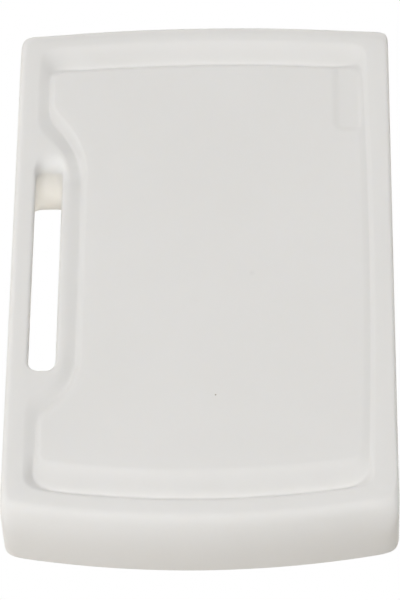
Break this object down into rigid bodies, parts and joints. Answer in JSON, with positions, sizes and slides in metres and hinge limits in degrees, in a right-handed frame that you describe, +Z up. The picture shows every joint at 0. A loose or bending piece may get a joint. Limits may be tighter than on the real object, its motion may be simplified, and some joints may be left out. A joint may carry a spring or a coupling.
{
  "type": "cutting board",
  "caption": "Thick white butcher's cutting board with a juice groove that bends round a hand hole, a corner juice well and rubber feet, to cut meat on a counter.",
  "frame": {"origin": "on the worktop, under the middle of the board's box", "axes": "+X to the right across the board, the handle is on the -X side; +Y along the board from the near end to the far end; +Z up out of the cutting face"},
  "size_m": [0.3, 0.4998, 0.053],
  "materials": {
    "white_polyethylene": "satin moulded polyethylene, finely grained",
    "core_plastic": "plain moulded plastic",
    "seal_rubber": "smooth grey gasket rubber",
    "foot_rubber": "matt grey non-slip rubber",
    "stainless_steel": "plain stainless steel"
  },
  "bodies": {
    "root": {"cutting_shell": "white_polyethylene", "base_plate": "white_polyethylene", "perimeter_seal": "seal_rubber", "rib_core": "core_plastic", "front_left_foot": "foot_rubber", "front_right_foot": "foot_rubber", "rear_left_foot": "foot_rubber", "rear_right_foot": "foot_rubber", "foot_screws": "stainless_steel", "foot_washers": "stainless_steel", "base_screws": "stainless_steel"}
  },
  "joints": []
}
